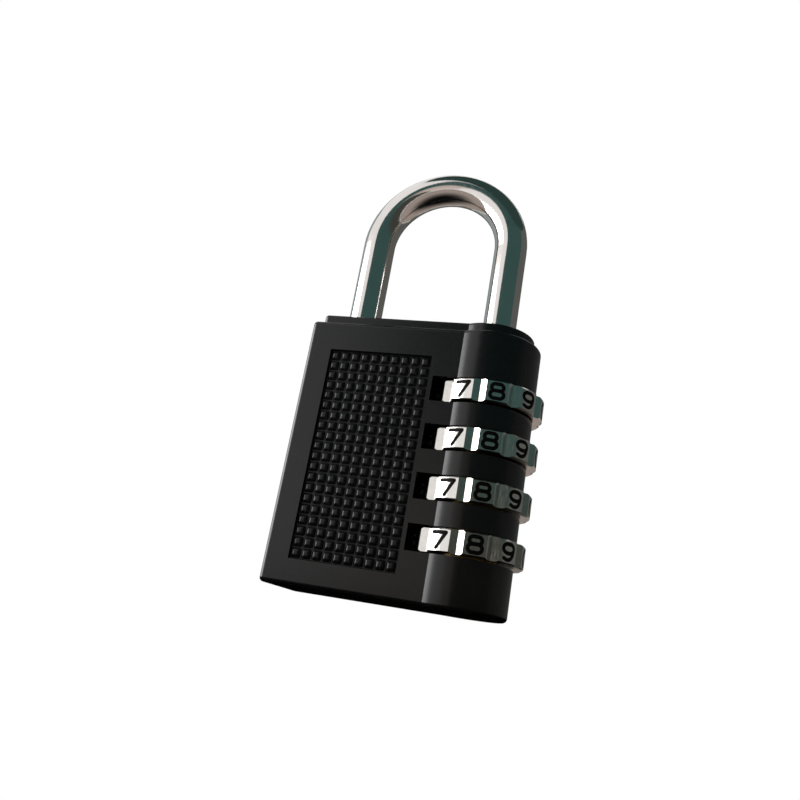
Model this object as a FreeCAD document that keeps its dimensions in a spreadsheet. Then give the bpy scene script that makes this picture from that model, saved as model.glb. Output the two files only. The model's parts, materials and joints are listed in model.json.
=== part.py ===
import FreeCAD, Part
import math
import os
import re
import Sketcher

# A four-dial combination padlock, in millimetres.
# +Z points up through the shackle, +X towards the dials and -Y out of the front face.
# The origin is on the flat bottom face, midway between the left face and the round end.

DOC = FreeCAD.newDocument("Padlock")
SIZES = DOC.addObject("Spreadsheet::Sheet", "Sizes")

TABLE = [
    # body
    ("body_reach", 21.92, "from the middle of the body to its left face"),
    ("body_depth", 17.6, "front face to back face"),
    ("head_height", 12.05, "highest number wheel's middle to the ledge round the top plate"),
    ("end_bulge", 0.77, "round end beyond the front and back faces"),
    ("end_shift", 0.9, "the round end's centre, left of the dial axis"),
    ("side_round", 0.9, "rounding of the upright left edges"),
    ("rim_round", 0.8, "rounding of the top and bottom edges"),
    # top plate
    ("plate_height", 2.0, "top plate above the ledge"),
    ("plate_inset", 1.5, "ledge left round the top plate"),
    ("plate_round", 0.5, "rounding of the top plate's upper edge"),
    ("dowel_radius", 1.0, "dowels under the top plate"),
    ("dowel_length", 5.0, "dowel length"),
    ("dowel_grip", 1.2, "how far a dowel reaches into the top plate"),
    ("dowel_spacing", 11.0, "between the two dowels"),
    # shackle
    ("leg_offset", 13.26, "dial axis and long leg, right of the middle"),
    ("leg_spacing", 27.9, "between the two legs"),
    ("rod_radius", 3.25, "shackle rod"),
    ("leg_length", 19.05, "straight legs above the top plate"),
    ("toe_depth", 6.3, "short leg below the top plate's upper face"),
    ("toe_chamfer", 0.7, "chamfer of the short leg's end"),
    ("toe_room", 1.5, "heel bore below the short leg"),
    ("lift_travel", 7.5, "how far the shackle rises when it opens"),
    ("core_radius", 2.1, "long leg between its fins"),
    ("fin_width", 3.0, "locking fin across the leg"),
    ("fin_height", 2.4, "locking fin along the leg"),
    ("fin_gap", 0.35, "locking fin below the gate that holds it"),
    ("shoulder_gap", 0.3, "full rod above the top sleeve"),
    # dials
    ("dial_proud", 0.81, "number wheel's radius beyond the round end's"),
    ("dial_height", 4.17, "number wheel along its axis"),
    ("dial_edge", 0.25, "chamfer of the number wheel's rims"),
    ("dial_pitch", 9.17, "between two number wheels"),
    ("groove_depth", 0.78, "finger groove between two numbers"),
    ("groove_width", 2.72, "finger groove at the wheel's rim"),
    # sleeves
    ("sleeve_radius", 6.0, "clutch sleeve"),
    ("sleeve_room", 5.67, "chamber below a sleeve's gate"),
    ("key_width", 1.6, "sleeve key"),
    ("key_reach", 0.7, "sleeve key beyond the sleeve"),
    ("key_height", 3.0, "sleeve key along the sleeve"),
    # parts at the foot of the bore
    ("washer_height", 0.8, "thrust washer"),
    ("ring_height", 0.8, "retaining ring"),
    ("ring_radius", 3.2, "retaining ring"),
    ("ring_bite", 0.5, "depth of the retaining ring's groove"),
    ("ring_mouth", 2.4, "open side of the retaining ring"),
    ("tail_length", 0.8, "long leg below its retaining ring"),
    ("tail_room", 0.925, "below the long leg, above the bottom plug"),
    ("plug_height", 2.5, "bottom plug"),
    ("plug_ledge", 0.45, "bottom plug beyond the key channels"),
    ("plug_pin_radius", 0.6, "pin that holds the bottom plug"),
    ("plug_pin_length", 5.0, "pin that holds the bottom plug"),
    ("wire_width", 1.0, "clutch spring's flat wire, across the coil"),
    ("wire_height", 0.6, "clutch spring's flat wire, along the coil"),
    ("coil_radius", 4.7, "clutch spring, to the middle of its wire"),
    ("coil_turns", 2.25, "clutch spring"),
    # windows and detents
    ("window_height", 4.8, "slot for one number wheel"),
    ("window_tuck", 1.08, "number wheel's radius beyond the slot's left end on the faces"),
    ("leaf_thickness", 0.3, "detent spring strip"),
    ("leaf_height", 3.4, "detent spring along the dial axis"),
    ("leaf_bend", 35.0, "slope of the detent spring's noses, in degrees"),
    ("leaf_set", 0.82, "middle of the detent spring behind the number wheel's rim"),
    ("leaf_side", 0.5, "feet of the detent spring from the pocket's sides"),
    ("pocket_room", 1.4, "detent pocket behind the middle of its spring"),
    ("pocket_wall", 1.5, "between the detent pocket and a panel recess"),
    # grip panels
    ("panel_side", 4.88, "panel recess from the left face"),
    ("panel_gap", 0.76, "panel recess from the number wheels' slots"),
    ("panel_foot", 4.75, "panel recess above the bottom face"),
    ("panel_head", 5.8, "panel recess below the ledge round the top plate"),
    ("recess_depth", 0.9, "panel recess into the face"),
    ("panel_thickness", 0.75, "grip panel"),
    # clearances
    ("running_gap", 0.05, "radial clearance of a running fit"),
    ("loose_gap", 0.15, "clearance round a loose piece"),
    ("dial_gap", 0.32, "number wheel to the window behind it"),
    ("touch_gap", 0.02, "between stacked pieces that turn"),
    ("overcut", 1.0, "how far a cutting solid runs past what it cuts"),
]

DIALS = 4
NUMBERS = 10

for row, (alias, number, note) in enumerate(TABLE, start=1):
    SIZES.set(f"A{row}", note)
    SIZES.set(f"B{row}", str(number))
    SIZES.setAlias(f"B{row}", alias)
DOC.recompute()

ALIASES = {alias for alias, _, _ in TABLE}

# Places that several pieces share, worked out from the table.
SHORT_LEG = "(leg_offset - leg_spacing)"
END_CENTRE = "(leg_offset - end_shift)"
END_RADIUS = "(body_depth / 2 + end_bulge)"
DIAL_RADIUS = f"({END_RADIUS} + dial_proud)"
STACK_FOOT = (
    "(plug_height + tail_room + tail_length + ring_height + lift_travel - sleeve_room)"
)
STACK_TOP = f"({STACK_FOOT} + {DIALS} * dial_pitch)"
BODY_TOP = f"({STACK_TOP} - dial_pitch / 2 + head_height)"
PLATE_TOP = f"({BODY_TOP} + plate_height)"
BOW_FOOT = f"({PLATE_TOP} + leg_length)"
WASHER_FOOT = f"({STACK_FOOT} - washer_height)"
GATE_FOOT = f"({STACK_FOOT} + sleeve_room)"
RING_TOP = f"({GATE_FOOT} - lift_travel)"
RING_FOOT = f"({RING_TOP} - ring_height)"
LEG_FOOT = f"({RING_FOOT} - tail_length)"
LEG_SHOULDER = f"({STACK_TOP} + shoulder_gap)"
TOE_FOOT = f"({PLATE_TOP} - toe_depth)"
BORE_RADIUS = "(sleeve_radius + running_gap)"
KEY_RADIUS = "(sleeve_radius + key_reach)"
FIN_ROOM = "(rod_radius + loose_gap)"
PLUG_RADIUS = f"({KEY_RADIUS} + loose_gap + plug_ledge)"
PLUG_PIN_LEVEL = "(plug_height / 2)"
WINDOW_LEFT = f"(leg_offset - {DIAL_RADIUS} + window_tuck)"
LEAF_MIDDLE = f"({DIAL_RADIUS} + leaf_set)"
POCKET_BACK = f"({LEAF_MIDDLE} + pocket_room)"
POCKET_SPAN = "(body_depth / 2 - recess_depth - pocket_wall)"


def bound(text):
    """The expression with each table name turned into its cell."""
    return re.sub(r"[a-z_]+", lambda m: f"Sizes.{m[0]}" if m[0] in ALIASES else m[0], text)


def value(text):
    """What an expression comes to, as a number."""
    return float(SIZES.evalExpression(bound(text)))


def bind(item, **sizes):
    """Binds an object's properties to expressions."""
    for name, text in sizes.items():
        item.setExpression(name, bound(str(text)))
    return item


def place(item, x="0", y="0", z="0"):
    """Binds where an object stands."""
    for axis, text in (("x", x), ("y", y), ("z", z)):
        item.setExpression(f"Placement.Base.{axis}", bound(str(text)))
    return item


def box(name, x, y, z):
    """A box between two expressions along each axis."""
    item = DOC.addObject("Part::Box", name)
    sides = {"Length": x, "Width": y, "Height": z}
    bind(item, **{side: f"({high}) - ({low})" for side, (low, high) in sides.items()})
    return place(item, x[0], y[0], z[0])


def cylinder(name, radius, z, x="leg_offset", y="0"):
    """An upright cylinder between two heights."""
    item = DOC.addObject("Part::Cylinder", name)
    bind(item, Radius=radius, Height=f"({z[1]}) - ({z[0]})")
    return place(item, x, y, z[0])


def fuse(name, *pieces):
    """The union of some objects."""
    item = DOC.addObject("Part::MultiFuse", name)
    item.Shapes = list(pieces)
    item.Refine = True
    return item


def cut(name, base, *tools):
    """One object less all the others."""
    item = DOC.addObject("Part::Cut", name)
    item.Base = base
    item.Tool = tools[0] if len(tools) == 1 else fuse(f"{name}_tools", *tools)
    item.Refine = True
    return item


def common(name, *pieces):
    """What some objects share."""
    item = DOC.addObject("Part::MultiCommon", name)
    item.Shapes = list(pieces)
    return item


def round_edges(body, name, radius, wanted):
    """A fillet on the edges of a body's last feature that pass a test of their middle point."""
    DOC.recompute()
    base = body.Tip
    edges = [
        f"Edge{n}"
        for n, edge in enumerate(base.Shape.Edges, start=1)
        if wanted(edge.CenterOfMass)
    ]
    fillet = body.newObject("PartDesign::Fillet", name)
    fillet.Base = (base, edges)
    bind(fillet, Radius=radius)
    return fillet


def origin_feature(body, role):
    """One of a body's own origin planes or axes."""
    return next(f for f in body.Origin.OriginFeatures if f.Role == role)


def sketch(body, name):
    """An empty sketch on a body's horizontal plane."""
    item = body.newObject("Sketcher::SketchObject", name)
    item.AttachmentSupport = [(origin_feature(body, "XY_Plane"), "")]
    item.MapMode = "FlatFace"
    return item


def outline(item, points):
    """A closed outline of straight lines, with each corner bound to a pair of expressions."""
    corners = [FreeCAD.Vector(value(x), value(y), 0) for x, y in points]
    count = len(corners)
    for n, corner in enumerate(corners):
        item.addGeometry(Part.LineSegment(corner, corners[(n + 1) % count]), False)
    for n, (x, y) in enumerate(points):
        following = (n + 1) % count
        item.addConstraint(Sketcher.Constraint("Coincident", n, 2, following, 1))
        for kind, text in (("DistanceX", x), ("DistanceY", y)):
            number = item.addConstraint(Sketcher.Constraint(kind, -1, 1, n, 1, value(text)))
            item.setExpression(f"Constraints[{number}]", bound(text))
    return item


def circle(item, radius):
    """A circle round the sketch's origin, with its radius bound to an expression."""
    centre = FreeCAD.Vector(0, 0, 0)
    shape = Part.Circle(centre, FreeCAD.Vector(0, 0, 1), value(radius))
    number = item.addGeometry(shape, False)
    item.addConstraint(Sketcher.Constraint("Coincident", number, 3, -1, 1))
    rule = item.addConstraint(Sketcher.Constraint("Radius", number, value(radius)))
    item.setExpression(f"Constraints[{rule}]", bound(radius))
    return item


def block_with_round_end(name, inset, z, rim, foot_too):
    """The body's outline between two heights: a block with a slightly wider round end."""
    low, high = value(z[0]), value(z[1])

    def on_rim(point):
        return abs(point.z - high) < 1e-3 or (foot_too and abs(point.z - low) < 1e-3)

    slab = DOC.addObject("PartDesign::Body", f"{name}_slab")
    sides = slab.newObject("PartDesign::AdditiveBox", f"{name}_sides")
    left = f"-(body_reach - {inset})"
    bind(
        sides,
        Length=f"{END_CENTRE} - ({left})",
        Width=f"body_depth - 2 * {inset}",
        Height=f"({z[1]}) - ({z[0]})",
    )
    place(sides, left, f"-(body_depth / 2 - {inset})", z[0])
    left_face, right_face = value(left), value(END_CENTRE)
    round_edges(
        slab,
        f"{name}_side_round",
        "side_round",
        lambda p: abs(p.x - left_face) < 1e-3 and low + 0.1 < p.z < high - 0.1 and abs(p.y) > 1,
    )
    round_edges(
        slab,
        f"{name}_rim_round",
        rim,
        lambda p: on_rim(p) and p.x < right_face - 1e-3,
    )
    end = DOC.addObject("PartDesign::Body", f"{name}_end")
    drum = end.newObject("PartDesign::AdditiveCylinder", f"{name}_drum")
    bind(drum, Radius=f"{END_RADIUS} - {inset}", Height=f"({z[1]}) - ({z[0]})")
    place(drum, END_CENTRE, "0", z[0])
    round_edges(end, f"{name}_end_round", rim, on_rim)
    return fuse(f"{name}_blank", slab, end)


def dial_level(number):
    """The height of one number wheel's middle, counted from the bottom."""
    return f"({STACK_FOOT} + ({number} + 0.5) * dial_pitch)"


def window(number):
    """The slot that one number wheel turns in, with the pocket of its detent spring."""
    middle = dial_level(number)
    span = (f"{middle} - window_height / 2", f"{middle} + window_height / 2")
    through = ("-body_depth", "body_depth")
    slot = box(
        f"window_{number + 1}",
        (WINDOW_LEFT, f"leg_offset + 2 * {DIAL_RADIUS}"),
        through,
        span,
    )
    sweep = cylinder(f"sweep_{number + 1}", f"{DIAL_RADIUS} + dial_gap", span)
    pocket = box(
        f"pocket_{number + 1}",
        (f"leg_offset - {POCKET_BACK}", f"{WINDOW_LEFT} + overcut"),
        (f"-{POCKET_SPAN}", POCKET_SPAN),
        span,
    )
    return [slot, sweep, pocket]


def make_housing():
    """The die-cast body: a block whose round end is a stack of webs between the number wheels."""
    blank = block_with_round_end("housing", "0", ("0", BODY_TOP), "rim_round", True)
    top = f"{BODY_TOP} + overcut"
    tools = [
        cylinder("stack_bore", BORE_RADIUS, ("-overcut", f"{STACK_TOP} + touch_gap")),
        cylinder("leg_bore", "rod_radius + running_gap", ("-overcut", top)),
        cylinder("heel_bore", FIN_ROOM, (f"{TOE_FOOT} - toe_room", top), SHORT_LEG),
        cylinder("plug_seat", PLUG_RADIUS, ("-overcut", "plug_height")),
        box(
            "key_channel",
            ("leg_offset - key_width / 2 - loose_gap", "leg_offset + key_width / 2 + loose_gap"),
            (f"-{KEY_RADIUS} - loose_gap", f"{KEY_RADIUS} + loose_gap"),
            ("-overcut", f"{STACK_TOP} + touch_gap"),
        ),
        plug_pin_solid("plug_pin_hole"),
    ]
    tools += dowels("dowel_hole")
    for side, face in (("front", -1), ("back", 1)):
        tools.append(panel_box(f"{side}_recess", face, "0", "recess_depth", "recess_depth + overcut"))
    for number in range(DIALS):
        tools += window(number)
    return cut("housing", blank, *tools)


def panel_box(name, face, gap, depth, thickness):
    """A flat box at one of the two panel recesses: its inner side lies at a depth from the face."""
    inner = f"(body_depth / 2 - {depth})"
    outer = f"({inner} + {thickness})"
    y = (inner, outer) if face > 0 else (f"-{outer}", f"-{inner}")
    x = (f"-body_reach + panel_side + {gap}", f"{WINDOW_LEFT} - panel_gap - {gap}")
    z = (f"panel_foot + {gap}", f"{BODY_TOP} - panel_head - {gap}")
    return box(name, x, y, z)


def dowels(name):
    """Two dowels that locate the top plate on the housing."""
    middle = f"(({SHORT_LEG} + leg_offset) / 2)"
    top = f"({BODY_TOP} + dowel_grip)"
    span = (f"{top} - dowel_length", top)
    return [
        cylinder(f"{name}_{n + 1}", "dowel_radius", span, f"{middle} + {side} * dowel_spacing / 2")
        for n, side in enumerate((-1, 1))
    ]


def make_top_plate():
    """The raised plate that both legs pass through."""
    z = (BODY_TOP, PLATE_TOP)
    blank = block_with_round_end("plate", "plate_inset", z, "plate_round", False)
    through = (f"{BODY_TOP} - overcut", f"{PLATE_TOP} + overcut")
    bores = [
        cylinder("plate_leg_bore", FIN_ROOM, through),
        cylinder("plate_heel_bore", FIN_ROOM, through, SHORT_LEG),
    ]
    return cut("top_plate", blank, *bores, *dowels("plate_dowel_hole"))


def make_shackle():
    """The hardened rod: a bow, a short leg and a long leg whose foot carries the locking fins."""
    bow = DOC.addObject("Part::Torus", "bow")
    bow.Placement = FreeCAD.Placement(
        FreeCAD.Vector(), FreeCAD.Rotation(FreeCAD.Vector(1, 0, 0), 90)
    )
    bind(bow, Radius1="leg_spacing / 2", Radius2="rod_radius", Angle3="180")
    place(bow, f"({SHORT_LEG} + leg_offset) / 2", "0", BOW_FOOT)
    tip = DOC.addObject("Part::Cone", "toe_tip")
    bind(tip, Radius1="rod_radius - toe_chamfer", Radius2="rod_radius", Height="toe_chamfer")
    place(tip, SHORT_LEG, "0", TOE_FOOT)
    pieces = [
        bow,
        tip,
        cylinder("short_leg", "rod_radius", (f"{TOE_FOOT} + toe_chamfer", BOW_FOOT), SHORT_LEG),
        cylinder("long_leg", "rod_radius", (LEG_SHOULDER, BOW_FOOT)),
        cylinder("leg_core", "core_radius", (RING_TOP, LEG_SHOULDER)),
        cylinder("ring_neck", "core_radius - ring_bite", (RING_FOOT, RING_TOP)),
        cylinder("leg_tail", "core_radius", (LEG_FOOT, RING_FOOT)),
    ]
    for number in range(DIALS):
        top = f"({GATE_FOOT} + {number} * dial_pitch - fin_gap)"
        span = (f"{top} - fin_height", top)
        blade = box(
            f"fin_blade_{number + 1}",
            ("leg_offset", "leg_offset + 2 * rod_radius"),
            ("-fin_width / 2", "fin_width / 2"),
            span,
        )
        rod = cylinder(f"fin_rod_{number + 1}", "rod_radius", span)
        pieces.append(common(f"fin_{number + 1}", blade, rod))
    return fuse("shackle", *pieces)


def make_retaining_ring():
    """The open ring in the long leg's neck, which ends the shackle's lift."""
    span = (RING_FOOT, RING_TOP)
    disc = cylinder("ring_disc", "ring_radius", span)
    neck = cylinder("ring_hole", "core_radius - ring_bite", span)
    mouth = box(
        "ring_opening",
        ("leg_offset - 2 * ring_radius", "leg_offset"),
        ("-ring_mouth / 2", "ring_mouth / 2"),
        span,
    )
    return cut("retaining_ring", disc, neck, mouth)


def make_dial(number):
    """A number wheel: ten lands between ten grooves, with ten key slots in its bore."""
    name = f"dial_{number + 1}"
    body = DOC.addObject("PartDesign::Body", name)
    wheel = body.newObject("PartDesign::Pad", f"{name}_wheel")
    wheel.Profile = circle(sketch(body, f"{name}_rim"), DIAL_RADIUS)
    wheel.Midplane = True
    bind(wheel, Length="dial_height")
    DOC.recompute()
    chamfer = body.newObject("PartDesign::Chamfer", f"{name}_edge")
    rims = [f"Edge{n}" for n, e in enumerate(wheel.Shape.Edges, start=1) if e.Closed]
    chamfer.Base = (wheel, rims)
    bind(chamfer, Size="dial_edge")
    bore = body.newObject("PartDesign::Pocket", f"{name}_bore")
    bore.Profile = circle(sketch(body, f"{name}_hole"), BORE_RADIUS)
    bore.Type = "ThroughAll"
    bore.Midplane = True
    half = f"(180 / {NUMBERS})"
    bottom = f"({DIAL_RADIUS} - groove_depth)"
    out = "(2 * groove_depth)"
    groove = [(f"{bottom} * cos({half})", f"{bottom} * sin({half})")]
    for sign in ("+", "-"):
        across = "-" if sign == "+" else "+"
        groove.append((
            f"({bottom} + {out}) * cos({half}) {sign} groove_width * sin({half})",
            f"({bottom} + {out}) * sin({half}) {across} groove_width * cos({half})",
        ))
    slot = "(key_width / 2 + running_gap)"
    start, reach = "(sleeve_radius / 2)", f"({KEY_RADIUS} + running_gap)"
    keyway = [(start, f"-{slot}"), (reach, f"-{slot}"), (reach, slot), (start, slot)]
    for label, points in (("groove", groove), ("keyway", keyway)):
        base = body.Tip
        pocket = body.newObject("PartDesign::Pocket", f"{name}_{label}")
        pocket.Profile = outline(sketch(body, f"{name}_{label}_outline"), points)
        pocket.Type = "ThroughAll"
        pocket.Midplane = True
        DOC.recompute()
        if not pocket.Shape.Volume < base.Shape.Volume:
            raise ValueError(f"{name}: the {label} cut nothing")
        pattern = body.newObject("PartDesign::PolarPattern", f"{name}_{label}s")
        pattern.Originals = [pocket]
        pattern.Axis = (next(f for f in body.Origin.OriginFeatures if f.Role == "Z_Axis"), [""])
        pattern.Angle = 360
        pattern.Occurrences = NUMBERS
        body.Tip = pattern
    return place(body, "leg_offset", "0", dial_level(number))


def make_sleeve(number):
    """A clutch sleeve: a chamber for one locking fin, closed by a ring with a gate for it."""
    name = f"sleeve_{number + 1}"
    foot = f"({STACK_FOOT} + {number} * dial_pitch)"
    top = f"({foot} + dial_pitch - touch_gap)"
    middle = dial_level(number)
    key = box(
        f"{name}_key",
        (f"leg_offset - {KEY_RADIUS}", f"leg_offset + {KEY_RADIUS}"),
        ("-key_width / 2", "key_width / 2"),
        (f"{middle} - key_height / 2", f"{middle} + key_height / 2"),
    )
    barrel = cylinder(f"{name}_barrel", "sleeve_radius", (foot, top))
    room = cylinder(f"{name}_room", FIN_ROOM, (f"{foot} - overcut", f"{foot} + sleeve_room"))
    hole = cylinder(f"{name}_hole", "core_radius + loose_gap", (foot, f"{top} + overcut"))
    blade = box(
        f"{name}_gate_blade",
        ("leg_offset", "leg_offset + 2 * rod_radius"),
        ("-fin_width / 2 - loose_gap", "fin_width / 2 + loose_gap"),
        (foot, f"{top} + overcut"),
    )
    reach = cylinder(f"{name}_gate_reach", FIN_ROOM, (foot, f"{top} + overcut"))
    gate = common(f"{name}_gate", blade, reach)
    return cut(name, fuse(f"{name}_keyed", barrel, key), room, hole, gate)


def strip(points, thickness):
    """Both sides of a thin strip along a line of points, as one closed outline."""
    sides = [[], []]
    for n, (x, y) in enumerate(points):
        before = points[max(n - 1, 0)]
        after = points[min(n + 1, len(points) - 1)]
        first = (x - before[0], y - before[1]) if n else (after[0] - x, after[1] - y)
        last = (after[0] - x, after[1] - y) if n < len(points) - 1 else first
        turns = [math.atan2(v[1], v[0]) for v in (first, last)]
        half = math.atan2(math.sin(turns[1] - turns[0]), math.cos(turns[1] - turns[0])) / 2
        across = turns[0] + half + math.pi / 2
        offset = thickness / 2 / math.cos(half)
        for side, sign in zip(sides, (1, -1)):
            side.append((x + sign * offset * math.cos(across), y + sign * offset * math.sin(across)))
    return sides[0] + sides[1][::-1]


def make_detent_spring(number):
    """A bent leaf in the housing whose two noses rest in two grooves of a number wheel."""
    name = f"detent_spring_{number + 1}"
    half = math.pi / NUMBERS
    slope = math.radians(value("leaf_bend"))
    thickness = value("leaf_thickness")
    groove_bottom = value(f"{DIAL_RADIUS} - groove_depth")
    nose_radius = groove_bottom + thickness + value("loose_gap")
    tuck = value(LEAF_MIDDLE)
    span = value(f"{POCKET_SPAN} - leaf_side")
    back = value(f"{POCKET_BACK} - touch_gap")
    nose = (-nose_radius * math.cos(half), nose_radius * math.sin(half))
    inner_turn = math.pi - half + slope
    outer_turn = math.pi - half - slope
    inner_run = (tuck + nose[0]) / -math.cos(inner_turn)
    outer_run = (span - nose[1]) / math.sin(outer_turn)
    upper = [
        (-tuck, nose[1] + inner_run * math.sin(inner_turn)),
        nose,
        (nose[0] + outer_run * math.cos(outer_turn), span),
        (-back, span),
    ]
    line = [(x, -y) for x, y in reversed(upper)] + upper
    corners = [FreeCAD.Vector(x, y, 0) for x, y in strip(line, thickness)]
    face = Part.Face(Part.makePolygon(corners + corners[:1]))
    height = value("leaf_height")
    leaf = DOC.addObject("Part::Feature", name)
    leaf.Shape = face.extrude(FreeCAD.Vector(0, 0, height))
    return place(leaf, "leg_offset", "0", f"{dial_level(number)} - leaf_height / 2")


def make_thrust_washer():
    """The washer between the clutch spring and the lowest sleeve."""
    span = (WASHER_FOOT, f"{STACK_FOOT} - touch_gap")
    disc = cylinder("washer_disc", "sleeve_radius", span)
    hole = cylinder("washer_hole", FIN_ROOM, span)
    return cut("thrust_washer", disc, hole)


def make_clutch_spring():
    """The flat-wire coil that holds the sleeves up against the top of their bore."""
    width, height = value("wire_width"), value("wire_height")
    rise = value(f"{WASHER_FOOT} - plug_height - wire_height - 2 * touch_gap")
    radius = value("coil_radius")
    spine = Part.makeHelix(rise / value("coil_turns"), rise, radius)
    corners = [
        FreeCAD.Vector(radius + side * width / 2, 0, end * height / 2)
        for side, end in ((-1, -1), (1, -1), (1, 1), (-1, 1), (-1, -1))
    ]
    section = Part.makePolygon(corners)
    coil = DOC.addObject("Part::Feature", "clutch_spring")
    coil.Shape = Part.Wire(spine.Edges).makePipeShell([section], True, True)
    return place(coil, "leg_offset", "0", "plug_height + wire_height / 2 + touch_gap")


def plug_pin_solid(name):
    """A round pin, or its hole, that runs from the back face into the bottom plug."""
    item = DOC.addObject("Part::Cylinder", name)
    item.Placement = FreeCAD.Placement(
        FreeCAD.Vector(), FreeCAD.Rotation(FreeCAD.Vector(1, 0, 0), 90)
    )
    bind(item, Radius="plug_pin_radius", Height="plug_pin_length")
    return place(item, "leg_offset", "body_depth / 2", PLUG_PIN_LEVEL)


def make_bottom_plug():
    """The round plug that closes the bore and carries the clutch spring."""
    disc = cylinder("plug_disc", PLUG_RADIUS, ("0", "plug_height"))
    return cut("bottom_plug", disc, plug_pin_solid("plug_cross_hole"))


def make_panel(name, face):
    """The grip panel in one recess: its raised studs fill this slab."""
    return panel_box(name, face, "touch_gap", "recess_depth", "panel_thickness")


def make_everything():
    """Every sub-part, by the name of its node."""
    nodes = {
        "housing": make_housing(),
        "top_plate": make_top_plate(),
        "top_plate_dowels": fuse("top_plate_dowels", *dowels("dowel")),
        "grip_panel_front": make_panel("grip_panel_front", -1),
        "grip_panel_back": make_panel("grip_panel_back", 1),
        "shackle": make_shackle(),
        "retaining_ring": make_retaining_ring(),
        "thrust_washer": make_thrust_washer(),
        "clutch_spring": make_clutch_spring(),
        "bottom_plug": make_bottom_plug(),
        "plug_pin": plug_pin_solid("plug_pin"),
    }
    for number in range(DIALS):
        nodes[f"dial_{number + 1}"] = make_dial(number)
        nodes[f"sleeve_{number + 1}"] = make_sleeve(number)
        nodes[f"detent_spring_{number + 1}"] = make_detent_spring(number)
    for name, item in nodes.items():
        item.Label = name
    return nodes


def check(nodes):
    """Stops the build when any object failed or any sub-part is empty, broken or in pieces."""
    for item in DOC.Objects:
        if {"Invalid", "Error"} & set(item.State):
            raise ValueError(f"{item.Name} failed: {item.State}")
    for name, item in nodes.items():
        shape = item.Shape
        if shape.isNull() or not shape.isValid() or not shape.Solids:
            raise ValueError(f"{name} has no valid shape")
        expected = 2 if name == "top_plate_dowels" else 1
        if len(shape.Solids) != expected:
            raise ValueError(f"{name} came out as {len(shape.Solids)} solids")


NODES = make_everything()
DOC.recompute()
check(NODES)
os.makedirs("parts", exist_ok=True)
for node_name, node in NODES.items():
    node.Shape.exportStep(f"parts/{node_name}.step")
    print(f"{node_name}: {node.Shape.Volume:.2f} mm3")
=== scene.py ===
"""A four-wheel combination padlock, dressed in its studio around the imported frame."""

import json
import logging
import math
from dataclasses import dataclass, field
from enum import Enum

import bmesh
import bpy
from mathutils import Matrix, Quaternion, Vector


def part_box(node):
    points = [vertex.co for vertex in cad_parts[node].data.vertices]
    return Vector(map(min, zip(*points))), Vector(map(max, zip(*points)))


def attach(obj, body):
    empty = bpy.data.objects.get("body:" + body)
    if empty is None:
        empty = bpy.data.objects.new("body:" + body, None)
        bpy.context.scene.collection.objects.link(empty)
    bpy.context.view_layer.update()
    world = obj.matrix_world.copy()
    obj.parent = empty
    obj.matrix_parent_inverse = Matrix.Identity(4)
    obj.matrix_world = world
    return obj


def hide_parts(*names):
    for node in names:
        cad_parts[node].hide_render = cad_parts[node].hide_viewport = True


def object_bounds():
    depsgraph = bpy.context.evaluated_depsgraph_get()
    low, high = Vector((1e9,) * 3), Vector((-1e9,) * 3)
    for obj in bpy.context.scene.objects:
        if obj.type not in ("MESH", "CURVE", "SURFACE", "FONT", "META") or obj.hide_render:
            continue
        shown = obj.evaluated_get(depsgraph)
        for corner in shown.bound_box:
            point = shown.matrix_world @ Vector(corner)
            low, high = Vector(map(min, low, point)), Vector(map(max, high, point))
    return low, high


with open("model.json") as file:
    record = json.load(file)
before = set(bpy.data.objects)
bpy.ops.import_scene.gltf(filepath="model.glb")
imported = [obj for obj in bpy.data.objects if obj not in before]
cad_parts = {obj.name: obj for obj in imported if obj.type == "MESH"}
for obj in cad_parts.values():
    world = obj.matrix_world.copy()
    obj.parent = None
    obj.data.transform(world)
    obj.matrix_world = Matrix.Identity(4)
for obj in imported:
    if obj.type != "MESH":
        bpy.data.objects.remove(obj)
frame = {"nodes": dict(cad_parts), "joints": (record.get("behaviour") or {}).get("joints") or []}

LOG = logging.getLogger("padlock")
MM = 0.001
CAD_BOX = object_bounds()
DIGIT_COUNT = 10
WHEEL_NUMBERS = range(1, 5)
# Sockets of the mix node that blends two colours.
MIX_FIRST = 6
MIX_SECOND = 7
MIX_RESULT = 2
# Noise seldom leaves this range, so a roughness runs between its two ends.
NOISE_LOW = 0.3
NOISE_HIGH = 0.7
# Points this near to a cutting plane count as lying on it.
CUT_REACH = 1e-8
# The painted-shade disc lies just under the lock, and the floor just under that disc.
SHADE_DISC_DROP = 0.00003
FLOOR_DROP = 0.00005


class Side(Enum):
    """Which broad face of the body a grip panel lies in."""

    FRONT = "front"
    BACK = "back"


class Fade(Enum):
    """Which way a card goes over into its second tone."""

    UP = "up"
    OUT = "out"


def linear(code: str) -> tuple[float, float, float, float]:
    """Turn an sRGB hex colour into the linear colour a shader takes.

    Args:
        code: six hex digits after a number sign.

    Returns:
        Linear red, green and blue, with an alpha of one.
    """
    channels = [int(code[i:i + 2], 16) / 255 for i in (1, 3, 5)]
    red, green, blue = [c / 12.92 if c <= 0.04045 else ((c + 0.055) / 1.055) ** 2.4 for c in channels]
    return red, green, blue, 1.0


def add_node(
    tree: bpy.types.NodeTree,
    kind: str,
    inputs: dict[str | int, object] | None = None,
    links: dict[str | int, bpy.types.NodeSocket] | None = None,
    **settings: object,
) -> bpy.types.Node:
    """Add one node with its settings, its fixed inputs and its links.

    Args:
        tree: the node tree that gets the node.
        kind: the node's type name.
        inputs: fixed values by socket name or number.
        links: output sockets of other nodes by this node's socket name or number.
        settings: the node's own properties.

    Returns:
        The new node.
    """
    node = tree.nodes.new(kind)
    for name, value in settings.items():
        setattr(node, name, value)
    for name, value in (inputs or {}).items():
        node.inputs[name].default_value = value
    for name, socket in (links or {}).items():
        tree.links.new(socket, node.inputs[name])
    return node


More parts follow.
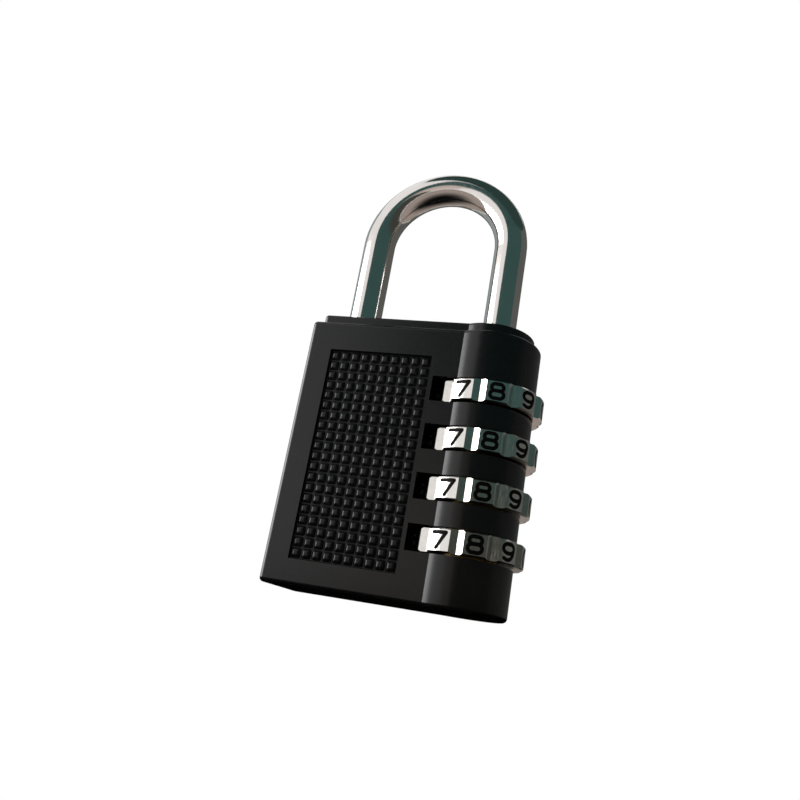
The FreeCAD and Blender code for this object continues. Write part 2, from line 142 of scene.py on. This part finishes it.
def new_material(name: str) -> bpy.types.Material:
    """Make a material with an empty node tree.

    Args:
        name: the material's name.

    Returns:
        The material.
    """
    made = bpy.data.materials.new(name)
    made.use_nodes = True
    made.node_tree.nodes.clear()
    return made


def new_object(name: str, data: bpy.types.ID) -> bpy.types.Object:
    """Make an object and link it to the scene.

    Args:
        name: the object's name.
        data: its mesh, curve, camera or lamp.

    Returns:
        The object.
    """
    made = bpy.data.objects.new(name, data)
    bpy.context.scene.collection.objects.link(made)
    return made


def mesh_object(name: str, shape: bmesh.types.BMesh, material: bpy.types.Material) -> bpy.types.Object:
    """Turn a bmesh into an object of one material.

    Args:
        name: the object's name.
        shape: its mesh, already in place; it is freed here.
        material: what it is made of.

    Returns:
        The object.
    """
    mesh = bpy.data.meshes.new(name)
    shape.to_mesh(mesh)
    shape.free()
    mesh.materials.append(material)
    return new_object(name, mesh)


def open_rim(shape: bmesh.types.BMesh) -> list[bmesh.types.BMEdge]:
    """Find the edges that only one face uses."""
    return [edge for edge in shape.edges if edge.is_boundary]


@dataclass(frozen=True)
class Finish:
    """A worn surface: two near tones, two near roughnesses and a fine relief."""

    name: str
    tone: str
    worn_tone: str
    roughness: float
    worn_roughness: float
    metallic: float = 0.0
    ior: float = 1.5
    specular: float = 0.5
    cloud_mm: float = 6.0
    grain_mm: float = 0.4
    relief_mm: float = 0.004
    relief_share: float = 0.6
    stretch: tuple[float, float, float] = (1.0, 1.0, 1.0)

    def surface(self, tree: bpy.types.NodeTree) -> dict[str, bpy.types.NodeSocket]:
        """Give the sockets that vary over the surface.

        Args:
            tree: the material's node tree.

        Returns:
            Output sockets by the name of the shader's input.
        """
        place = add_node(tree, "ShaderNodeTexCoord").outputs["Object"]
        drawn = add_node(
            tree, "ShaderNodeMapping", {"Scale": self.stretch}, {"Vector": place}
        ).outputs["Vector"]
        cloud = add_node(
            tree, "ShaderNodeTexNoise", {"Scale": 1 / (self.cloud_mm * MM), "Detail": 4.0, "Roughness": 0.6},
            {"Vector": place},
        ).outputs["Fac"]
        grain = add_node(
            tree, "ShaderNodeTexNoise", {"Scale": 1 / (self.grain_mm * MM), "Detail": 3.0}, {"Vector": drawn}
        ).outputs["Fac"]
        tone = add_node(
            tree, "ShaderNodeMix", {MIX_FIRST: linear(self.tone), MIX_SECOND: linear(self.worn_tone)},
            {0: cloud}, data_type="RGBA",
        ).outputs[MIX_RESULT]
        rough = add_node(
            tree, "ShaderNodeMapRange",
            {
                "From Min": NOISE_LOW, "From Max": NOISE_HIGH, "To Min": self.roughness,
                "To Max": self.worn_roughness,
            },
            {"Value": grain},
        ).outputs["Result"]
        relief = add_node(
            tree, "ShaderNodeBump", {"Strength": self.relief_share, "Distance": self.relief_mm * MM},
            {"Height": grain},
        ).outputs["Normal"]
        return {"Base Color": tone, "Roughness": rough, "Normal": relief}

    def material(self) -> bpy.types.Material:
        """Make the material, once, and hand out the same one after that.

        Returns:
            The finished material.
        """
        known = bpy.data.materials.get(self.name)
        if known:
            return known
        made = new_material(self.name)
        tree = made.node_tree
        fixed = {"Metallic": self.metallic, "Specular IOR Level": self.specular, "IOR": self.ior}
        shader = add_node(tree, "ShaderNodeBsdfPrincipled", fixed, self.surface(tree))
        add_node(tree, "ShaderNodeOutputMaterial", links={"Surface": shader.outputs["BSDF"]})
        LOG.info("finish %s", self.name)
        return made


# Stove-enamelled zinc die casting: a satin black that takes a soft sheen and blurs what it mirrors.
ENAMELLED_ZINC = Finish(
    "enamelled_zinc_black", "#030303", "#060606", 0.22, 0.26, ior=1.46, cloud_mm=9.0, grain_mm=0.5,
    relief_mm=0.003,
)
# The same enamel on the cap and the plug, a touch smoother: its sheen has a slightly sharper edge.
ENAMELLED_STEEL = Finish(
    "enamelled_steel_black", "#030303", "#060606", 0.20, 0.25, ior=1.46, cloud_mm=7.0, grain_mm=0.5,
    relief_mm=0.002,
)
# Injection-moulded ABS: a deep black, semi-gloss skin that shows each stud by one small soft light.
MOULDED_ABS = Finish(
    "moulded_abs_black", "#030304", "#070708", 0.32, 0.40, ior=1.45, specular=0.36, cloud_mm=3.0,
    grain_mm=0.25, relief_mm=0.003,
)
# Bright chromium over nickel on a drawn steel rod: a clean mirror with faint haze along the rod.
BRIGHT_CHROMIUM = Finish(
    "bright_chromium_plate", "#e6e1de", "#d6d0cc", 0.09, 0.13, metallic=1.0, cloud_mm=5.0, grain_mm=0.6,
    stretch=(1.0, 1.0, 0.15),
)
# Chromium on a zinc casting that was barrel polished: bright, with short upright streaks.
BARRELLED_CHROMIUM = Finish(
    "barrelled_chromium_plate", "#e9e5e0", "#d3cfca", 0.09, 0.2, metallic=1.0, cloud_mm=1.2, grain_mm=0.32,
    relief_mm=0.022, stretch=(1.0, 1.0, 0.25),
)
# Black enamel wiped into the digits: nearly matt, so it stays black beside the chromium.
WIPED_ENAMEL = Finish(
    "wiped_enamel_black", "#020202", "#060505", 0.34, 0.46, specular=0.06, cloud_mm=1.5, grain_mm=0.2
)
# Turned brass: warm yellow with rings of the lathe tool.
TURNED_BRASS = Finish(
    "turned_brass", "#8f7a4c", "#7c683e", 0.24, 0.36, metallic=1.0, cloud_mm=3.0, grain_mm=0.3,
    stretch=(0.2, 0.2, 1.0),
)
# Oil-tempered spring steel: a dark blue-grey skin.
TEMPERED_STEEL = Finish(
    "tempered_spring_steel", "#6f7276", "#5a5d62", 0.28, 0.4, metallic=1.0, cloud_mm=2.0, grain_mm=0.3,
    relief_mm=0.003,
)
# Zinc-plated steel: pale grey and a little cloudy.
ZINC_PLATE = Finish(
    "zinc_plated_steel", "#b9bcbe", "#a2a5a8", 0.26, 0.38, metallic=1.0, cloud_mm=2.5, grain_mm=0.3
)


def piece_from(name: str, shape: bmesh.types.BMesh, finish: Finish, body: str) -> bpy.types.Object:
    """Turn a bmesh into a piece that rides on a body.

    Args:
        name: the piece's name.
        shape: its mesh, already in place; it is freed here.
        finish: what it is made of.
        body: the body it rides on.

    Returns:
        The piece.
    """
    piece = mesh_object(name, shape, finish.material())
    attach(piece, body)
    LOG.info("%s: %d faces on %s", name, len(piece.data.polygons), body)
    return piece


@dataclass
class GripPanel:
    """A pressed-in panel of low studs, one in each broad face."""

    side: Side
    columns: int = 10
    rows: int = 20
    border_mm: float = 0.16
    lip_mm: float = 0.13
    line_mm: float = 0.09
    flank_mm: float = 0.40
    stud_mm: float = 0.50
    soften_mm: float = 0.25
    soften_steps: int = 3

    @property
    def node(self) -> str:
        """The frame node this panel stands for."""
        return f"grip_panel_{self.side.value}"

    def place(self, low: Vector, high: Vector) -> Matrix:
        """Work out where the flat panel goes.

        Args:
            low: the node's lowest corner.
            high: the node's highest corner.

        Returns:
            The matrix from the panel's own plane, with its face along +Z, to the frame.
        """
        front = self.side is Side.FRONT
        across = Vector((1, 0, 0)) if front else Vector((-1, 0, 0))
        out = Vector((0, -1, 0)) if front else Vector((0, 1, 0))
        turn = Matrix((across, Vector((0, 0, 1)), out)).transposed().to_4x4()
        face = low.y if front else high.y
        middle = Vector(((low.x + high.x) / 2, face, (low.z + high.z) / 2))
        return Matrix.Translation(middle) @ turn

    def raise_studs(self, shape: bmesh.types.BMesh) -> None:
        """Turn each square of the grid into a stud with sloping flanks and soft edges.

        Args:
            shape: the flat grid.
        """
        studs = list(shape.faces)
        bmesh.ops.inset_individual(shape, faces=studs, thickness=self.line_mm * MM, use_even_offset=True)
        bmesh.ops.inset_individual(
            shape, faces=studs, thickness=self.flank_mm * MM, depth=self.stud_mm * MM, use_even_offset=True
        )
        soft = {edge for stud in studs for vert in stud.verts for edge in vert.link_edges}
        bmesh.ops.bevel(
            shape, geom=list(soft), offset=self.soften_mm * MM, offset_type="OFFSET", affect="EDGES",
            segments=self.soften_steps, profile=0.5, material=-1, clamp_overlap=True,
        )

    def build(self) -> bpy.types.Object:
        """Make the studded panel and put it in its recess.

        Returns:
            The panel.
        """
        low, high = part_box(self.node)
        width, height, thick = high.x - low.x, high.z - low.z, high.y - low.y
        shape = bmesh.new()
        bmesh.ops.create_grid(shape, x_segments=self.columns, y_segments=self.rows, size=0.5)
        border = 2 * self.border_mm * MM
        inner = (width - border, height - border)
        bmesh.ops.scale(shape, vec=(*inner, 1), verts=shape.verts)
        self.raise_studs(shape)
        lip = (self.stud_mm + self.lip_mm) * MM
        grow = (width / inner[0], height / inner[1], 1)
        for scale, rise in ((grow, lip), ((1, 1, 1), self.stud_mm * MM - thick - lip)):
            wall = bmesh.ops.extrude_edge_only(shape, edges=open_rim(shape))["geom"]
            moved = [item for item in wall if isinstance(item, bmesh.types.BMVert)]
            bmesh.ops.scale(shape, vec=scale, verts=moved)
            bmesh.ops.translate(shape, vec=(0, 0, rise), verts=moved)
        bmesh.ops.edgeloop_fill(shape, edges=open_rim(shape))
        bmesh.ops.translate(shape, vec=(0, 0, -self.stud_mm * MM), verts=shape.verts)
        bmesh.ops.recalc_face_normals(shape, faces=shape.faces)
        bmesh.ops.transform(shape, matrix=self.place(low, high), verts=shape.verts)
        piece = piece_from(f"studs_{self.side.value}", shape, MOULDED_ABS, "case")
        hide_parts(self.node)
        return piece


@dataclass(frozen=True)
class Stroke:
    """One stroke of a digit, drawn in a box that runs from -1 to 1 both ways."""

    points: tuple[tuple[float, float], ...]
    closed: bool = False
    smooth: bool = True


LOOP = ((0, 0.16), (-0.7, 0.02), (-1, -0.4), (-0.74, -0.86), (0, -1), (0.74, -0.86), (1, -0.4), (0.7, 0.02))
HOOK = ((0.78, 0.84), (0.2, 1), (-0.45, 0.84), (-0.88, 0.28), (-1, -0.4))
RING = ((0, 1), (-0.76, 0.72), (-1, 0), (-0.76, -0.72), (0, -1), (0.76, -0.72), (1, 0), (0.76, 0.72))
STROKES = {
    0: (Stroke(RING, closed=True),),
    1: (Stroke(((-0.5, 0.5), (0.12, 1), (0.12, -1)), smooth=False),),
    2: (
        Stroke(((-0.95, 0.45), (-0.62, 0.87), (0, 1), (0.68, 0.84), (0.9, 0.42), (0.5, -0.16), (-0.98, -1))),
        Stroke(((-0.98, -1), (0.98, -1)), smooth=False),
    ),
    3: (
        Stroke(((-0.9, 0.62), (-0.5, 0.94), (0.1, 1), (0.7, 0.84), (0.82, 0.5), (0.55, 0.15), (-0.1, 0.05))),
        Stroke(((-0.1, 0.05), (0.68, -0.06), (1, -0.48), (0.7, -0.86), (0, -1), (-0.6, -0.9), (-1, -0.55))),
    ),
    4: (Stroke(((0.45, -1), (0.45, 1), (-1, -0.42), (1, -0.42)), smooth=False),),
    5: (
        Stroke(((0.85, 1), (-0.7, 1), (-0.86, 0.08)), smooth=False),
        Stroke(((-0.86, 0.08), (-0.3, 0.3), (0.36, 0.25), (0.92, -0.1), (0.95, -0.55), (0.45, -0.93),
                (-0.1, -1), (-0.65, -0.88), (-1, -0.55))),
    ),
    6: (Stroke(LOOP, closed=True), Stroke(HOOK)),
    7: (Stroke(((-1, 1), (1, 1), (-0.3, -1)), smooth=False),),
    8: (
        Stroke(((0, 1), (-0.62, 0.94), (-0.88, 0.53), (-0.62, 0.12), (0, 0.06), (0.62, 0.12), (0.88, 0.53),
                (0.62, 0.94)), closed=True),
        Stroke(((0, 0.06), (-0.7, -0.02), (-1, -0.47), (-0.7, -0.93), (0, -1), (0.7, -0.93), (1, -0.47),
                (0.7, -0.02)), closed=True),
    ),
    9: (
        Stroke(tuple((-x, -y) for x, y in LOOP), closed=True),
        Stroke(tuple((-x, -y) for x, y in HOOK)),
    ),
}


@dataclass
class Digits:
    """The ten black digits of one wheel, each a flat rounded stroke that just clears its land."""

    wheel: int
    tall_mm: float = 3.38
    wide_mm: float = 3.2
    stroke_mm: float = 0.70
    proud_mm: float = 0.006
    strip_mm: float = 0.25
    knot_steps: int = 6
    round_steps: int = 2

    def curve(self, digit: int, half: Vector) -> tuple[bpy.types.Curve, list[tuple[float, float]]]:
        """Lay a digit's strokes as round tubes, in millimetres; each straight run is a tube of its own.

        Args:
            digit: which one.
            half: half the width and height between the strokes' middle lines.

        Returns:
            The curve, and the places where open strokes start and end.
        """
        curve = bpy.data.curves.new(f"digit_{digit}", "CURVE")
        curve.dimensions = "3D"
        curve.resolution_u = self.knot_steps
        curve.bevel_depth = self.stroke_mm / 2
        curve.bevel_resolution = self.round_steps
        tips = []
        for stroke in STROKES[digit]:
            runs = [stroke.points] if stroke.smooth else list(zip(stroke.points, stroke.points[1:]))
            for run in runs:
                spline = curve.splines.new("BEZIER")
                spline.bezier_points.add(len(run) - 1)
                spline.use_cyclic_u = stroke.closed
                for knot, (x, y) in zip(spline.bezier_points, run):
                    knot.co = (x * half.x, y * half.y, 0)
                    knot.handle_left_type = knot.handle_right_type = "AUTO" if stroke.smooth else "VECTOR"
                if not stroke.closed:
                    tips += (run[0], run[-1])
        return curve, tips

    def glyph(self, digit: int) -> bmesh.types.BMesh:
        """Draw one digit with round ends, flat, centred, face towards +Z.

        Args:
            digit: which one.

        Returns:
            Its mesh in metres.
        """
        half = Vector(((self.wide_mm - self.stroke_mm) / 2, (self.tall_mm - self.stroke_mm) / 2))
        curve, tips = self.curve(digit, half)
        holder = new_object(curve.name, curve)
        bpy.context.view_layer.update()
        mesh = bpy.data.meshes.new_from_object(holder.evaluated_get(bpy.context.evaluated_depsgraph_get()))
        shape = bmesh.new()
        shape.from_mesh(mesh)
        bmesh.ops.holes_fill(shape, edges=open_rim(shape))
        bpy.data.objects.remove(holder)
        bpy.data.curves.remove(curve)
        bpy.data.meshes.remove(mesh)
        for x, y in sorted(set(tips)):
            tip = Matrix.Translation((x * half.x, y * half.y, 0))
            bmesh.ops.create_icosphere(
                shape, subdivisions=self.round_steps, radius=self.stroke_mm / 2, matrix=tip
            )
        flat = 2 * self.proud_mm / self.stroke_mm
        bmesh.ops.scale(shape, vec=(MM, MM, MM * flat), verts=shape.verts)
        return shape

    def wrap(self, shape: bmesh.types.BMesh, radius: float) -> None:
        """Cut a flat glyph into upright strips and bend it round the wheel.

        Args:
            shape: the flat glyph.
            radius: the wheel's radius in metres.
        """
        half = math.ceil(self.wide_mm / 2 / self.strip_mm)
        for step in range(-half, half + 1):
            every = list(shape.verts) + list(shape.edges) + list(shape.faces)
            spot = (step * self.strip_mm * MM, 0, 0)
            bmesh.ops.bisect_plane(shape, geom=every, plane_co=spot, plane_no=(1, 0, 0), dist=CUT_REACH)
        for vert in shape.verts:
            turn = vert.co.x / radius
            reach = radius + vert.co.z
            vert.co = Vector((reach * math.cos(turn), reach * math.sin(turn), vert.co.y))

    def build(self) -> bpy.types.Object:
        """Make the ten digits on the wheel's lands.

        Returns:
            One piece with all ten.
        """
        turns = next(joint for joint in frame["joints"] if joint["name"] == f"dial_{self.wheel}_turn")
        centre = Vector(turns["pos_m"])
        low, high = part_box(f"dial_{self.wheel}")
        centre.z = (low.z + high.z) / 2
        radius = high.x - centre.x
        whole = bmesh.new()
        for digit in range(DIGIT_COUNT):
            shape = self.glyph(digit)
            self.wrap(shape, radius)
            turn = Matrix.Rotation(math.tau * digit / DIGIT_COUNT, 4, "Z")
            bmesh.ops.transform(shape, matrix=Matrix.Translation(centre) @ turn, verts=shape.verts)
            scrap = bpy.data.meshes.new("scrap")
            shape.to_mesh(scrap)
            shape.free()
            whole.from_mesh(scrap)
            bpy.data.meshes.remove(scrap)
        name = f"digits_{self.wheel}"
        return piece_from(name, whole, WIPED_ENAMEL, f"wheel_{self.wheel}")


class Assembly:
    """A group of frame nodes that are dressed together, with the pieces that are added to them."""

    def finishes(self) -> dict[str, Finish]:
        """Give the finish of each frame node."""
        raise NotImplementedError

    def added(self) -> list[GripPanel | Digits]:
        """Give what is built on top of the frame nodes."""
        return []

    def build(self) -> None:
        """Dress the frame nodes, then build what is added."""
        for node, finish in self.finishes().items():
            for held in frame["nodes"][node].material_slots:
                held.material = finish.material()
            LOG.info("%s in %s", node, finish.name)
        for extra in self.added():
            extra.build()


class Body(Assembly):
    """The cast body with its cap, its bottom plug and its two grip panels."""

    def finishes(self) -> dict[str, Finish]:
        """Give the enamel of the shell and the zinc of what pins it together."""
        return {
            "housing": ENAMELLED_ZINC,
            "top_plate": ENAMELLED_STEEL,
            "top_plate_dowels": ZINC_PLATE,
            "bottom_plug": ENAMELLED_STEEL,
            "plug_pin": ZINC_PLATE,
        }

    def added(self) -> list[GripPanel | Digits]:
        """Give both studded panels."""
        return [GripPanel(side) for side in Side]


class Shackle(Assembly):
    """The bent rod with the ring, washer and spring that lift it."""

    def finishes(self) -> dict[str, Finish]:
        """Give the metals of the shackle and of what moves it."""
        return {
            "shackle": BRIGHT_CHROMIUM,
            "retaining_ring": TEMPERED_STEEL,
            "thrust_washer": ZINC_PLATE,
            "clutch_spring": TEMPERED_STEEL,
        }


@dataclass
class Wheel(Assembly):
    """One number wheel with its inner sleeve and its detent spring."""

    number: int

    def finishes(self) -> dict[str, Finish]:
        """Give the metals of the wheel's three nodes."""
        return {
            f"dial_{self.number}": BARRELLED_CHROMIUM,
            f"sleeve_{self.number}": TURNED_BRASS,
            f"detent_spring_{self.number}": TEMPERED_STEEL,
        }

    def added(self) -> list[GripPanel | Digits]:
        """Give the wheel's digits."""
        return [Digits(self.number)]


@dataclass(frozen=True)
class Blend:
    """How a card goes over into a second tone, between two distances in metres."""

    tone: str
    way: Fade
    start: float
    full: float


@dataclass(frozen=True)
class Card:
    """A glowing card of the set that is seen only in reflections."""

    name: str
    tone: str
    blend: Blend | None = None
    glow: float = 1.0

    def outline(self) -> bmesh.types.BMesh:
        """Shape the card."""
        raise NotImplementedError

    def paint(self) -> bpy.types.Material:
        """Make the card's glowing paint, plain or going over into its second tone.

        Returns:
            The material.
        """
        made = new_material(f"paint_{self.name}")
        tree = made.node_tree
        links = {}
        if self.blend:
            place = add_node(tree, "ShaderNodeTexCoord").outputs["Object"]
            if self.blend.way is Fade.UP:
                reach = add_node(tree, "ShaderNodeSeparateXYZ", links={0: place}).outputs["Z"]
            else:
                reach = add_node(
                    tree, "ShaderNodeVectorMath", links={0: place}, operation="LENGTH"
                ).outputs["Value"]
            share = add_node(
                tree, "ShaderNodeMapRange", {"From Min": self.blend.start, "From Max": self.blend.full},
                {"Value": reach}, interpolation_type="SMOOTHSTEP",
            ).outputs["Result"]
            links["Color"] = add_node(
                tree, "ShaderNodeMix",
                {MIX_FIRST: linear(self.tone), MIX_SECOND: linear(self.blend.tone)}, {0: share},
                data_type="RGBA",
            ).outputs[MIX_RESULT]
        plain = {"Color": linear(self.tone), "Strength": self.glow}
        glow = add_node(tree, "ShaderNodeEmission", plain, links)
        add_node(tree, "ShaderNodeOutputMaterial", links={"Surface": glow.outputs["Emission"]})
        return made

    def build(self) -> bpy.types.Object:
        """Put the card in place and hide it from everything but reflections.

        Returns:
            The card.
        """
        card = mesh_object(self.name, self.outline(), self.paint())
        card.visible_camera = False
        card.visible_diffuse = False
        card.visible_shadow = False
        card.visible_transmission = False
        return card


@dataclass(frozen=True)
class Wall(Card):
    """A card that stands curved round the set, from one azimuth to another, right of the front positive."""

    start: float = 0.0
    end: float = 90.0
    low: float = -0.8
    high: float = 1.6
    radius: float = 1.5
    step: float = 4.0

    def outline(self) -> bmesh.types.BMesh:
        """Spin the wall from an upright edge.

        Returns:
            Its mesh.
        """
        shape = bmesh.new()
        first = math.radians(self.start)
        ends = [
            shape.verts.new((self.radius * math.sin(first), -self.radius * math.cos(first), level))
            for level in (self.low, self.high)
        ]
        edge = shape.edges.new(ends)
        span = self.end - self.start
        bmesh.ops.spin(
            shape, geom=[*ends, edge], cent=(0, 0, 0), axis=(0, 0, 1), angle=math.radians(span),
            steps=round(span / self.step),
        )
        return shape


@dataclass(frozen=True)
class Disc(Card):
    """A round card that lies level."""

    centre: tuple[float, float, float] = (0.0, 0.0, 0.0)
    radius: float = 1.0
    sides: int = 64

    def outline(self) -> bmesh.types.BMesh:
        """Lay the disc.

        Returns:
            Its mesh.
        """
        shape = bmesh.new()
        bmesh.ops.create_circle(shape, cap_ends=True, segments=self.sides, radius=self.radius)
        bmesh.ops.translate(shape, vec=self.centre, verts=shape.verts)
        return shape


DEEP_GREEN = "#3b5755"
# The window's second tone times its glow is the plain white of the background.
WINDOW_GLOW = 8.0
WINDOW_EDGE = "#636363"
CARDS = (
    Wall("green_wall", "#43443f", Blend(DEEP_GREEN, Fade.UP, 0.15, 0.55), start=-19.5, end=86.0),
    Wall("grey_wall", "#606360", start=86.0, end=220.0, radius=1.6),
    Wall(
        "pale_wall", "#cfc4bd", Blend(DEEP_GREEN, Fade.UP, 0.18, 0.55), start=-20.0, end=-1.0, high=0.8,
        radius=1.45,
    ),
    Wall(
        "window", "#ffffff", Blend(WINDOW_EDGE, Fade.UP, 0.62, 0.78), WINDOW_GLOW, start=-98.0, end=-50.0,
        low=-0.3, high=0.80, radius=1.4,
    ),
    Wall("side_wall", "#9aa6a8", start=220.0, end=262.0, radius=1.62),
    Disc("dark_ceiling", "#304542", centre=(0.9, -0.3, 1.6), radius=1.6),
    # Painted shade: a disc seen only in reflections, near black next to the lock and going over into a
    # greyish floor tone further out, so mirrors show a dark patch under the lock.
    Disc(
        "painted_shade_disc", "#060504", Blend("#a59b94", Fade.OUT, 0.028, 0.13),
        centre=(0.0, 0.0, CAD_BOX[0].z - SHADE_DISC_DROP), radius=0.3,
    ),
)


@dataclass(frozen=True)
class Lamp:
    """One soft rectangular lamp; azimuth and rise are degrees right of the front and above the floor."""

    name: str
    azimuth: float
    rise: float
    away: float
    width: float
    height: float
    watts: float

    def build(self) -> bpy.types.Object:
        """Hang the lamp facing the middle of the lock; the window card stands for it in reflections.

        Returns:
            The lamp.
        """
        data = bpy.data.lights.new(self.name, "AREA")
        data.shape = "RECTANGLE"
        data.size = self.width
        data.size_y = self.height
        data.energy = self.watts
        made = new_object(self.name, data)
        turn, lift = math.radians(self.azimuth), math.radians(self.rise)
        way = Vector((math.sin(turn) * math.cos(lift), -math.cos(turn) * math.cos(lift), math.sin(lift)))
        middle = (CAD_BOX[0] + CAD_BOX[1]) / 2
        made.location = middle + way * self.away
        made.visible_glossy = False
        made.rotation_mode = "QUATERNION"
        made.rotation_quaternion = (-way).to_track_quat("-Z", "Y")
        return made


@dataclass
class Studio:
    """The camera, floor, world, cards and lamp."""

    eye: Vector = field(default_factory=lambda: Vector((0.04211, -0.14736, -0.00749)))
    aim: Vector = field(default_factory=lambda: Vector((-0.00424, 0.0, 0.03885)))
    roll: float = 10.14
    lens: float = 36.96
    sensor: float = 36.0
    nearest: float = 0.005
    farthest: float = 20.0
    floor_tone: str = "#f2f2f2"
    floor_radius: float = 0.45
    floor_sides: int = 96
    fade_from: float = 0.45
    fade_to: float = 0.95
    fill: float = 0.7
    lamp: Lamp = Lamp(
        "window_lamp", azimuth=-74.0, rise=20.0, away=1.1, width=1.0, height=1.6, watts=44.0
    )

    def camera(self) -> None:
        """Stand the camera a little below the base, right of the front, and tilt it."""
        data = bpy.data.cameras.new("camera")
        data.lens = self.lens
        data.sensor_width = self.sensor
        data.clip_start = self.nearest
        data.clip_end = self.farthest
        made = new_object("camera", data)
        made.location = self.eye
        made.rotation_mode = "QUATERNION"
        look = (self.aim - self.eye).to_track_quat("-Z", "Y")
        made.rotation_quaternion = look @ Quaternion((0, 0, 1), math.radians(self.roll))
        bpy.context.scene.camera = made
        LOG.info("camera %s", tuple(round(v, 4) for v in made.location))

    def floor(self) -> None:
        """Lay the pale floor: it fades out at its rim and lets the low camera see through from below."""
        shape = bmesh.new()
        bmesh.ops.create_circle(shape, cap_ends=True, segments=self.floor_sides, radius=self.floor_radius)
        bmesh.ops.translate(shape, vec=(0, 0, CAD_BOX[0].z - FLOOR_DROP), verts=shape.verts)
        paint = new_material("paint_floor")
        tree = paint.node_tree
        place = add_node(tree, "ShaderNodeTexCoord").outputs["Object"]
        reach = add_node(tree, "ShaderNodeVectorMath", links={0: place}, operation="LENGTH").outputs["Value"]
        rim = {"From Min": self.floor_radius * self.fade_from, "From Max": self.floor_radius * self.fade_to}
        fade = add_node(
            tree, "ShaderNodeMapRange", rim, {"Value": reach}, interpolation_type="SMOOTHSTEP"
        ).outputs["Result"]
        under = add_node(tree, "ShaderNodeNewGeometry").outputs["Backfacing"]
        gone = add_node(tree, "ShaderNodeMath", links={0: fade, 1: under}, operation="MAXIMUM").outputs[0]
        matt = add_node(tree, "ShaderNodeBsdfDiffuse", {"Color": linear(self.floor_tone)}).outputs["BSDF"]
        clear = add_node(tree, "ShaderNodeBsdfTransparent").outputs["BSDF"]
        mix = add_node(tree, "ShaderNodeMixShader", links={0: gone, 1: matt, 2: clear}).outputs["Shader"]
        add_node(tree, "ShaderNodeOutputMaterial", links={"Surface": mix})
        made = mesh_object("floor", shape, paint)

    def world(self) -> None:
        """Light the set evenly, and show plain white to the camera and to mirrors."""
        world = bpy.data.worlds.new("studio")
        bpy.context.scene.world = world
        world.use_nodes = True
        tree = world.node_tree
        tree.nodes.clear()
        path = add_node(tree, "ShaderNodeLightPath").outputs
        seen = add_node(
            tree, "ShaderNodeMath", links={0: path["Is Camera Ray"], 1: path["Is Glossy Ray"]},
            operation="MAXIMUM",
        ).outputs[0]
        shown = add_node(
            tree, "ShaderNodeMath", links={0: seen, 1: path["Is Transmission Ray"]}, operation="MAXIMUM"
        ).outputs[0]
        level = add_node(
            tree, "ShaderNodeMapRange", {"To Min": self.fill, "To Max": 1.0}, {"Value": shown}
        ).outputs["Result"]
        sky = add_node(
            tree, "ShaderNodeBackground", {"Color": (1.0, 1.0, 1.0, 1.0)}, {"Strength": level}
        ).outputs["Background"]
        add_node(tree, "ShaderNodeOutputWorld", links={"Surface": sky})

    def build(self) -> None:
        """Set up the whole studio."""
        self.camera()
        self.floor()
        self.world()
        for card in CARDS:
            card.build()
        self.lamp.build()


def main() -> None:
    """Build the lock and its studio in order."""
    logging.basicConfig(level=logging.INFO, format="%(name)s: %(message)s")
    bpy.context.scene.view_settings.view_transform = "Standard"
    for group in (Body(), Shackle(), *map(Wheel, WHEEL_NUMBERS)):
        group.build()
    Studio().build()


if __name__ == "__main__":
    main()
